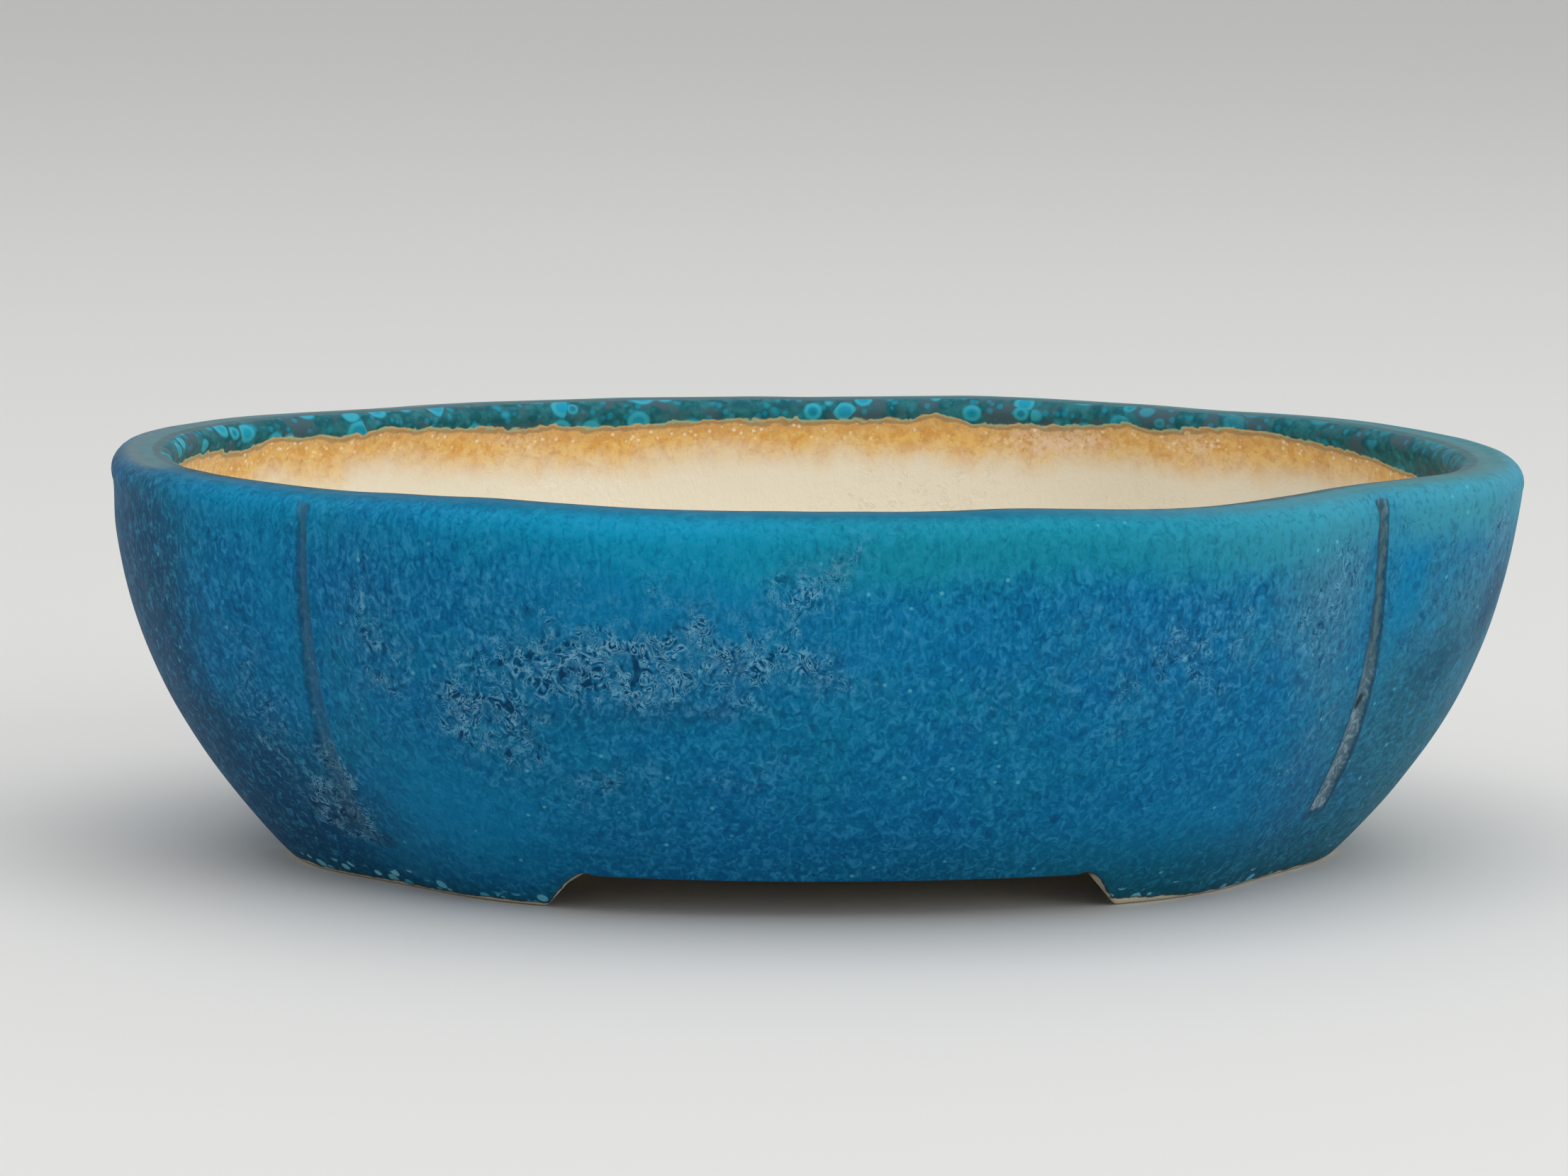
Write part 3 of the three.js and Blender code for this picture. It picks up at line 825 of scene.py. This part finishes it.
class Nodes:
    """A material whose node tree is written as expressions, in millimetres on the object."""

    def __init__(self, name):
        self.material = bpy.data.materials.new(name)
        self.material.use_nodes = True
        self.tree = self.material.node_tree
        self.shader = self.tree.nodes["Principled BSDF"]
        place = self.tree.nodes.new("ShaderNodeTexCoord").outputs["Object"]
        self.place = self.vector("MULTIPLY", place, (1 / MM, 1 / MM, 1 / MM))
        self.x, self.y, self.z = self.split(self.place)

    def add(self, kind, inputs=(), **settings):
        node = self.tree.nodes.new(kind)
        for name, value in settings.items():
            setattr(node, name, value)
        for key, value in dict(inputs).items():
            self.feed(node.inputs[key], value)
        return node

    def feed(self, socket, value):
        if isinstance(value, bpy.types.NodeSocket):
            self.tree.links.new(value, socket)
        else:
            socket.default_value = value

    def vector(self, operation, a, b):
        return self.add("ShaderNodeVectorMath", {0: a, 1: b}, operation=operation).outputs[0]

    def split(self, vector):
        return self.add("ShaderNodeSeparateXYZ", {0: vector}).outputs

    def math(self, operation, a, b=0.0):
        return self.add("ShaderNodeMath", {0: a, 1: b}, operation=operation).outputs[0]

    def plus(self, a, b):
        return self.math("ADD", a, b)

    def times(self, product, *factors):
        for factor in factors:
            product = self.math("MULTIPLY", product, factor)
        return product

    def minus(self, a, b):
        return self.math("SUBTRACT", a, b)

    def most(self, a, b):
        return self.math("MAXIMUM", a, b)

    def ramp(self, value, low, high, bottom=0.0, top=1.0):
        """bottom below low, top above high, and an S between them."""
        inputs = {"Value": value, "From Min": low, "From Max": high, "To Min": bottom, "To Max": top}
        return self.add("ShaderNodeMapRange", inputs, interpolation_type="SMOOTHSTEP").outputs[0]

    def fall(self, value, low, high):
        """1 below low, 0 above high, and an S between them."""
        return self.ramp(value, low, high, 1.0, 0.0)

    def band(self, value, middle, half):
        """1 at the middle, and 0 further off than half."""
        away = self.math("ABSOLUTE", self.minus(value, middle))
        return self.fall(away, 0.35 * half, half)

    def mix(self, share, a, b):
        node = self.add("ShaderNodeMix", data_type="RGBA")
        for socket, value in zip((node.inputs[0], node.inputs[6], node.inputs[7]), (share, a, b)):
            self.feed(socket, value)
        return node.outputs[2]

    def over(self, base, colour, share, most):
        """The base with a colour laid over it, at most that strongly."""
        return self.mix(self.times(share, most), base, colour)

    def noise(self, size, detail=2.0, rough=0.5, tall=1, twist=0.0, shift=0.0):
        """Noise of about 0.5 with features of that many millimetres, and tall times as much upwards."""
        scaled = self.vector("MULTIPLY", self.place, (1 / size, 1 / size, 1 / (size * tall)))
        moved = self.vector("ADD", scaled, (shift, shift * 1.7, shift * 0.6))
        node = self.add("ShaderNodeTexNoise", {"Vector": moved, "Scale": 1, "Detail": detail})
        self.feed(node.inputs["Roughness"], rough)
        self.feed(node.inputs["Distortion"], twist)
        return node.outputs[0]

    def waver(self, *settings, **more):
        """The same noise about 0."""
        return self.minus(self.noise(*settings, **more), 0.5)

    def cells(self, size, shift):
        """Distance to the nearest of scattered points, in cell sizes, and its three random numbers."""
        scaled = self.vector("MULTIPLY", self.place, (1 / size, 1 / size, 1 / size))
        moved = self.vector("ADD", scaled, (shift, shift, shift))
        node = self.add("ShaderNodeTexVoronoi", {"Vector": moved, "Scale": 1.0})
        return node.outputs["Distance"], self.split(node.outputs["Color"])

    def kept(self, name):
        """What paint() kept at each vertex under that name."""
        return self.add("ShaderNodeAttribute", attribute_name=name).outputs["Fac"]

    def bump(self, relief, depth_mm):
        inputs = {"Height": relief, "Distance": depth_mm * MM, "Strength": 1.0}
        return self.add("ShaderNodeBump", inputs).outputs[0]

    def finish(self, colour, roughness, normal):
        self.feed(self.shader.inputs["Base Color"], colour)
        self.feed(self.shader.inputs["Roughness"], roughness)
        self.feed(self.shader.inputs["Normal"], normal)
        return self.material


BLUE = linear(0, 101, 150)
TEAL = linear(2, 109, 146)
BLUE_SHADED_BELOW = linear(0, 94, 144)
CLEAR_BLUE = linear(0, 117, 162)
TURQUOISE = linear(10, 126, 148)
TURQUOISE_BLUE = linear(2, 134, 170)
TURQUOISE_GREY = linear(58, 142, 160)
SHEEN_AND_VEIL_GREY = linear(62, 118, 138)
SHADE_AND_SMUDGE_BLUE = linear(12, 60, 90)
CLOUD_BLUE = linear(30, 106, 146)
HAZE = linear(44, 92, 126)
STROKE_PALE = linear(46, 140, 182)
STROKE_DARK = linear(0, 66, 108)
CURL_PALE = linear(104, 160, 186)
CURL_DARK = linear(0, 48, 82)
CYAN_DOT = linear(92, 186, 200)
STRIP_WARM = linear(90, 114, 118)
STRIP_COOL = linear(82, 110, 122)
STRIP_PALE = linear(128, 150, 160)
STRIP_EDGE = linear(30, 58, 78)
STRIP_BLUE = linear(58, 94, 122)
NOTCH_DARK = linear(22, 44, 56)
CROWN_TEAL = linear(60, 116, 122)
CROWN_SMOKE = linear(88, 112, 116)
RIM_TEAL = linear(6, 90, 120)
RIM_SHEEN_GREY = linear(62, 118, 134)
LOW_TEAL = linear(4, 84, 98)
END_TEAL = linear(44, 104, 116)
ORANGE = linear(216, 158, 72)
SHEEN_PINK = linear(232, 206, 186)
LIP_GREY = linear(72, 114, 122)
LIP_BROWN = linear(54, 68, 68)
DARK_TEAL = linear(20, 82, 92)
MID_TEAL = linear(44, 112, 120)
SLATE = linear(62, 88, 98)
DISC = linear(20, 142, 172)
DISC_RIM = linear(74, 172, 182)
HALO = linear(140, 178, 152)
BROWN = linear(132, 112, 84)
RUSSET = linear(206, 164, 112)
AMBER = linear(230, 186, 104)
CREAM = linear(226, 218, 199)
GLINT = linear(246, 226, 204)
FOOT_TEAL = linear(2, 76, 92)
FOOT_EDGE = linear(50, 62, 60)
BEAD_BLUE = linear(40, 158, 200)
BEAD_PALE = linear(128, 206, 222)
CLAY = linear(214, 204, 182)
SHADED_CLAY = linear(92, 88, 74)
CLAY_CLOUD = linear(210, 194, 166)
CLAY_GRIT = linear(150, 124, 90)
CLAY_SPECK = linear(98, 72, 50)


def blue_ground(n, mottle, blotch):
    """The broad colours of the glaze outside, with painted shade and sheen among them, before the
    crystals break it up.
    """
    clear, tone = n.kept("clear"), n.kept("tone")
    x, z = n.x, n.z
    wave = n.noise(9, 3)
    colour = n.mix(n.ramp(n.plus(n.times(tone, 0.5), wave), 0.2, 0.9), BLUE, TEAL)
    # painted shade: darker towards the bottom, where less light reaches the wall
    lower = n.fall(n.plus(z, n.times(wave, 14)), 16, 50)
    colour = n.over(colour, BLUE_SHADED_BELOW, lower, 0.85)
    ragged = n.times(blotch, 0.5)
    # partly a painted sheen of light from the right, partly greyer glaze
    colour = n.over(colour, SHEEN_AND_VEIL_GREY, n.ramp(n.plus(n.kept("sheen_and_veil"), ragged), 0.1, 0.9), 0.8)
    colour = n.over(colour, CLEAR_BLUE, n.ramp(n.plus(clear, ragged), 0.1, 0.9), 0.85)
    low = n.fall(n.plus(z, n.times(wave, 6)), 5, 28)
    colour = n.mix(n.times(low, n.ramp(x, -30, 50, 0.2, 0.85)), colour, LOW_TEAL)
    colour = n.mix(n.times(n.ramp(z, 26, 70, 0.8, 0), n.ramp(x, 84, 118)), colour, END_TEAL)
    # painted shade on the left end and its lower part, with darker smudges of glaze
    colour = n.over(colour, SHADE_AND_SMUDGE_BLUE, n.ramp(n.plus(n.kept("shade_and_smudge"), ragged), 0.1, 1), 0.88)
    turquoise = n.mix(n.ramp(x, -50, 15), TURQUOISE_BLUE, TURQUOISE)
    turquoise = n.mix(n.ramp(x, 40, 125), turquoise, TURQUOISE_GREY)
    colour = n.mix(n.ramp(n.plus(n.kept("band"), n.times(blotch, 0.7)), 0.05, 0.95), colour, turquoise)
    cloud = n.ramp(n.plus(n.times(mottle, 0.8), n.times(blotch, 1.2)), 0.1, 0.95)
    haze = n.ramp(n.noise(12, shift=14), 0.47, 0.66)
    return n.over(colour, n.mix(haze, CLOUD_BLUE, HAZE), cloud, 0.6)


def outer_glaze(n):
    """Fine strokes everywhere, hairs that hang straight down, and curls that are bold among crystals."""
    mottle = n.kept("mottle")
    blotch = n.waver(4.4, 4, 0.6, tall=1.2, twist=0.6, shift=3)
    colour = blue_ground(n, mottle, blotch)
    crowd = n.ramp(n.plus(mottle, blotch), 0.15, 0.95)
    grain = n.waver(1.7, 2, 0.55, tall=1.35, twist=1.2, shift=5)
    hairs = n.waver(0.95, 2, 0.6, tall=4.2, twist=0.4, shift=2)
    upper = n.ramp(n.z, 50, 66, 0.5, 1.5)
    swirl = n.noise(2.9, 1.2, tall=1.1, twist=2, shift=9)
    broken = n.ramp(n.noise(4, twist=0.4, shift=12), 0.36, 0.58, 0.25, 1)
    bright = n.most(n.band(swirl, 0.535, 0.05), n.band(swirl, 0.66, 0.06))
    deep = n.most(n.fall(swirl, 0.36, 0.45), n.band(swirl, 0.6, 0.035))
    curls = n.times(n.minus(bright, deep), broken)
    plain = n.plus(n.times(grain, 3), n.times(hairs, upper, 1.15))
    smoother = n.most(n.kept("band"), n.most(n.kept("clear"), n.times(n.kept("sheen_and_veil"), 0.8)))
    calm = n.ramp(smoother, 0.15, 0.9, 1, 0.5)
    bold = n.plus(
        n.times(plain, calm, n.ramp(crowd, 0, 1, 0.9, 0.7)),
        n.times(curls, n.ramp(crowd, 0.1, 1, 0.12, 0.85)),
    )
    pale = n.mix(crowd, STROKE_PALE, CURL_PALE)
    dark = n.mix(crowd, STROKE_DARK, CURL_DARK)
    lighter = n.math("MINIMUM", n.most(bold, 0), 0.85)
    darker = n.math("MINIMUM", n.most(n.times(bold, -1.1), 0), 0.92)
    colour = n.mix(lighter, colour, pale)
    colour = n.mix(darker, colour, dark)
    away, pick = n.cells(4.6, 3)
    dot = n.times(n.fall(away, 0.06, 0.13), n.ramp(pick[0], 0.6, 0.64))
    colour = n.over(colour, CYAN_DOT, dot, 0.5)
    return colour, n.times(bold, 0.4)


def groove_strip(n, colour):
    """The dark-edged grey strip in each groove: warm towards the lip, cool and pale at the foot."""
    ragged = n.times(n.waver(1.5, 3, 0.6, tall=2.2, twist=0.3, shift=2), 1.3)
    away = n.math("DIVIDE", n.plus(n.kept("crease"), ragged), n.kept("groove"))
    wave = n.times(n.noise(2), 2)
    z = n.plus(n.z, wave)
    foot_end = n.ramp(n.plus(z, n.times(ragged, 1.5)), GROOVE_BOTTOM + 0.4, GROOVE_BOTTOM + 1.6)
    lip_end = n.fall(n.plus(n.kept("section"), wave), -6.8, -5.2)
    shown = n.times(foot_end, lip_end, n.kept("strip"))
    streak = n.ramp(n.noise(0.9, 3, 0.6, tall=5, twist=0.2, shift=7), 0.32, 0.58)
    blob = n.ramp(n.noise(1.2, 2, 0.6, tall=1.8, twist=1, shift=3), 0.46, 0.62)
    warm = n.mix(streak, n.mix(0.55, STRIP_WARM, STRIP_EDGE), STRIP_WARM)
    cool = n.mix(blob, STRIP_COOL, STRIP_PALE)
    inner = n.mix(n.ramp(z, 34, 62), cool, warm)
    dim = n.ramp(n.kept("strip"), 0.55, 0.8, 0.85, 0)
    seam = n.times(n.band(away, 0.25, 0.4), n.most(n.ramp(z, 40, 60, 0, 0.7), dim))
    inner = n.mix(seam, inner, STRIP_EDGE)
    inner = n.mix(n.ramp(n.kept("strip"), 0.55, 0.9, 0.75, 0), inner, STRIP_BLUE)
    below = n.ramp(z, GROOVE_BOTTOM - 2.5, GROOVE_BOTTOM, 0, 1)
    tip = n.times(below, n.fall(z, GROOVE_BOTTOM + 1, GROOVE_BOTTOM + 3))
    edge = n.most(n.times(n.band(away, 1.2, 0.4), shown), n.times(n.ramp(away, 1.2, 1.7, 0.7, 0), tip))
    colour = n.over(colour, STRIP_EDGE, edge, 0.7)
    colour = n.over(colour, inner, n.times(n.fall(away, 0.85, 1.15), shown), 0.92)
    return n.over(colour, NOTCH_DARK, n.fall(n.kept("notch"), 0.7, 1.1), 0.9)


def foot_glaze_end(n, colour):
    """The glaze stops short of the ground and of the windows, beads hang above its edge, and painted
    shade darkens the foot's inner faces.
    """
    wavering = n.waver(5, 3, 0.6, shift=4)
    from_end = n.plus(n.times(n.kept("from_window"), 0.9), 0.6)
    from_edge = n.math("MINIMUM", n.minus(n.z, n.kept("bare")), from_end)
    edge = n.plus(from_edge, n.times(wavering, 1.8))
    away, pick = n.cells(3, 6)
    high = n.ramp(pick[2], 0, 1, 2.2, 4.4)
    low = n.times(n.ramp(edge, 0.5, 1), n.fall(n.minus(n.z, high), 0, 0.6))
    size = n.ramp(pick[0], 0.2, 0.9, 0.24, 0.5)
    bead = n.times(n.fall(n.minus(away, size), -0.07, 0.03), n.ramp(pick[1], 0.16, 0.22))
    colour = n.mix(n.ramp(edge, 1.5, 5, 0.4, 0), colour, FOOT_TEAL)
    colour = n.over(colour, n.mix(pick[2], BEAD_BLUE, BEAD_PALE), n.times(bead, low), 0.9)
    colour = n.mix(n.ramp(edge, 0.9, 1.35, 0.85, 0), colour, FOOT_EDGE)
    colour = n.mix(n.fall(edge, 0.6, 0.95), colour, CLAY)
    # painted shade: the foot's inner face and the inner part of its slanted ends are darkened, except
    # near the ground
    shade_inside = n.times(n.ramp(n.plus(n.kept("inset"), wavering), 1, 2.2), n.ramp(n.z, 0.3, 1))
    return n.over(colour, SHADED_CLAY, shade_inside, 0.9)


def lip_glaze(n, colour):
    """Teal over the crown, a thin brown line at its inner edge, then dark teal with discs."""
    section = n.kept("section")
    x, y = n.x, n.y
    left_end = n.fall(n.plus(x, n.ramp(y, -55, -5, 145, 80)), -25, 0)
    ends = n.most(n.ramp(x, 70, 130), left_end)
    round_back = n.most(ends, n.ramp(y, -20, 40))
    soft = n.times(n.waver(3, 3), 4)
    flat_top = n.ramp(n.plus(section, soft), -7.5, -3)
    behind = n.times(n.ramp(section, -11, -6), n.ramp(y, 0, 40))
    crown = n.mix(n.ramp(x, -40, 40), CROWN_SMOKE, CROWN_TEAL)
    # over the ends and the back the crown is teal, turning towards the right to a paler grey that is
    # partly a painted sheen of light from above
    crown = n.mix(round_back, n.mix(n.ramp(x, 20, 90), RIM_TEAL, RIM_SHEEN_GREY), crown)
    crowned = n.times(n.most(flat_top, behind), n.ramp(round_back, 0, 1, 0.8, 0.92))
    colour = n.mix(crowned, colour, crown)
    crest = n.times(n.band(section, 0.5, 3), n.ramp(round_back, 0, 1, 0, 0.75))
    colour = n.mix(crest, colour, LIP_GREY)
    front = n.times(n.fall(y, -45, -15), n.ramp(ends, 0, 1, 1, 0.3))
    brown = n.times(n.band(n.plus(section, n.times(soft, 0.5)), 1.5, 2.6), front)
    colour = n.over(colour, LIP_BROWN, brown, 0.85)
    dark = n.mix(n.ramp(n.noise(2.6, 3, 0.6), 0.35, 0.7), DARK_TEAL, MID_TEAL)
    dark = n.mix(n.ramp(n.noise(7, twist=0.5, shift=21), 0.5, 0.64), dark, SLATE)
    small_away, small_pick = n.cells(2.1, 4)
    small = n.times(n.fall(small_away, 0.26, 0.44), n.ramp(small_pick[1], 0.4, 0.5))
    inside = n.over(dark, DISC, small, 0.5)
    away, pick = n.cells(6, 1)
    size = n.ramp(pick[0], 0.1, 0.9, 0.24, 0.56)
    disc = n.times(n.fall(n.minus(away, size), -0.09, 0.04), n.ramp(pick[1], 0.14, 0.2))
    hollow = n.times(n.fall(away, 0.08, 0.2), n.ramp(pick[2], 0.5, 0.6))
    rim = n.times(n.band(n.minus(away, n.times(size, 0.76)), 0, 0.12), 0.45)
    fill = n.mix(n.times(hollow, 0.45), n.mix(rim, DISC, DISC_RIM), DARK_TEAL)
    fewer = n.ramp(x, 50, 110, 0.9, 0.3)
    inside = n.mix(n.times(disc, fewer), inside, fill)
    colour = n.mix(n.ramp(section, 2.4, 3.6), colour, inside)
    return n.over(colour, LIP_BROWN, n.band(section, 2.1, 1.2), 0.45)


def inner_glaze(n, colour):
    """Where the blue run ended: a pale halo, a brown line, russet and amber grains, then cream."""
    ragged = n.times(n.waver(3.6, twist=0.5, shift=8), 2.6)
    down = n.plus(n.kept("below_run"), ragged)
    inner = n.ramp(n.kept("section"), 2, 4)
    grains = n.noise(1.1, 3, 0.65, twist=0.3, shift=11)
    lumps = n.times(n.minus(grains, 0.5), 5)
    fade = n.plus(n.plus(down, n.times(n.waver(14), 9)), n.times(lumps, 0.6))
    rusty = n.ramp(n.plus(n.noise(3.4, 3, 0.6, twist=0.6, shift=17), n.times(lumps, 0.03)), 0.42, 0.62)
    body = n.mix(n.ramp(fade, 2.5, 13.5), n.mix(rusty, AMBER, ORANGE), CREAM)
    # a painted pinkish sheen, the reflection of the window light, on the amber
    painted_sheen = n.times(n.ramp(n.plus(n.kept("painted_sheen"), n.times(n.minus(grains, 0.5), 2.4)), 0.2, 0.9), 0.75)
    body = n.mix(painted_sheen, body, SHEEN_PINK)
    body = n.over(body, RUSSET, n.fall(n.plus(down, lumps), 1, 4.5), 0.6)
    body = n.mix(n.times(n.ramp(grains, 0.34, 0.46, 0.3, 0), n.fall(fade, 3, 11)), body, BROWN)
    away, pick = n.cells(1.5, 5)
    near = n.times(n.ramp(down, 0.8, 1.4), n.fall(down, 2.5, 7))
    glint = n.times(n.fall(away, 0.2, 0.36), n.ramp(pick[0], 0.5, 0.6))
    body = n.over(body, GLINT, n.times(glint, near), 0.7)
    patchy = n.ramp(n.noise(5, shift=31), 0.4, 0.6, 0.25, 0.8)
    body = n.over(body, BROWN, n.band(down, 0.75, 0.7), 0.6)
    body = n.mix(n.times(n.band(down, 0.1, 0.5), patchy), body, HALO)
    colour = n.mix(n.times(n.ramp(down, -0.3, 0.1), inner), colour, body)
    wet = n.times(n.ramp(down, 0.2, 1.4), n.ramp(fade, 6, 18, 1, 0.25))
    return colour, n.times(wet, inner), down, grains


def make_glaze(name, is_foot):
    n = Nodes(name)
    outside, strokes = outer_glaze(n)
    colour = groove_strip(n, outside)
    grit = n.noise(0.55, 3, 0.6)
    relief = n.plus(n.times(strokes, 1.2), n.times(grit, 0.2))
    roughness = n.ramp(n.noise(3, 3), 0.2, 0.8, 0.48, 0.62)
    n.shader.inputs["Specular IOR Level"].default_value = 0.07
    if is_foot:
        return n.finish(foot_glaze_end(n, colour), roughness, n.bump(relief, 0.1))

    colour, shiny, down, grains = inner_glaze(n, lip_glaze(n, colour))
    n.feed(n.shader.inputs["Coat Weight"], n.times(shiny, 0.9))
    n.shader.inputs["Coat Roughness"].default_value = 0.14
    relief = n.plus(relief, n.times(shiny, grains, n.ramp(down, 2, 14, 2.2, 0.5)))
    normal = n.bump(relief, 0.1)
    n.feed(n.shader.inputs["Coat Normal"], normal)
    return n.finish(colour, roughness, normal)


def make_bare_clay():
    n = Nodes("bare_clay")
    grit = n.noise(0.5, 4, 0.7)
    cloud = n.ramp(n.noise(16, 4), 0.3, 0.7)
    colour = n.mix(cloud, CLAY, CLAY_CLOUD)
    colour = n.over(colour, CLAY_GRIT, n.ramp(grit, 0.58, 0.68), 0.5)
    away, pick = n.cells(3, 2)
    speck = n.times(n.fall(away, 0.08, 0.13), n.ramp(pick[0], 0.6, 0.65))
    colour = n.over(colour, CLAY_SPECK, speck, 0.7)
    relief = n.plus(n.times(grit, 0.5), n.noise(4, 3))
    return n.finish(colour, n.ramp(grit, 0.3, 0.7, 0.75, 0.9), n.bump(relief, 0.15))


# ------------------------ build
glaze = make_glaze("blue_glaze", False)
foot_glaze = make_glaze("foot_glaze", True)
clay = make_bare_clay()
make_wall(glaze)
make_floor(clay)
make_foot("left_foot", -1, foot_glaze)
make_foot("right_foot", 1, foot_glaze)
make_stage()
make_light()
make_camera()
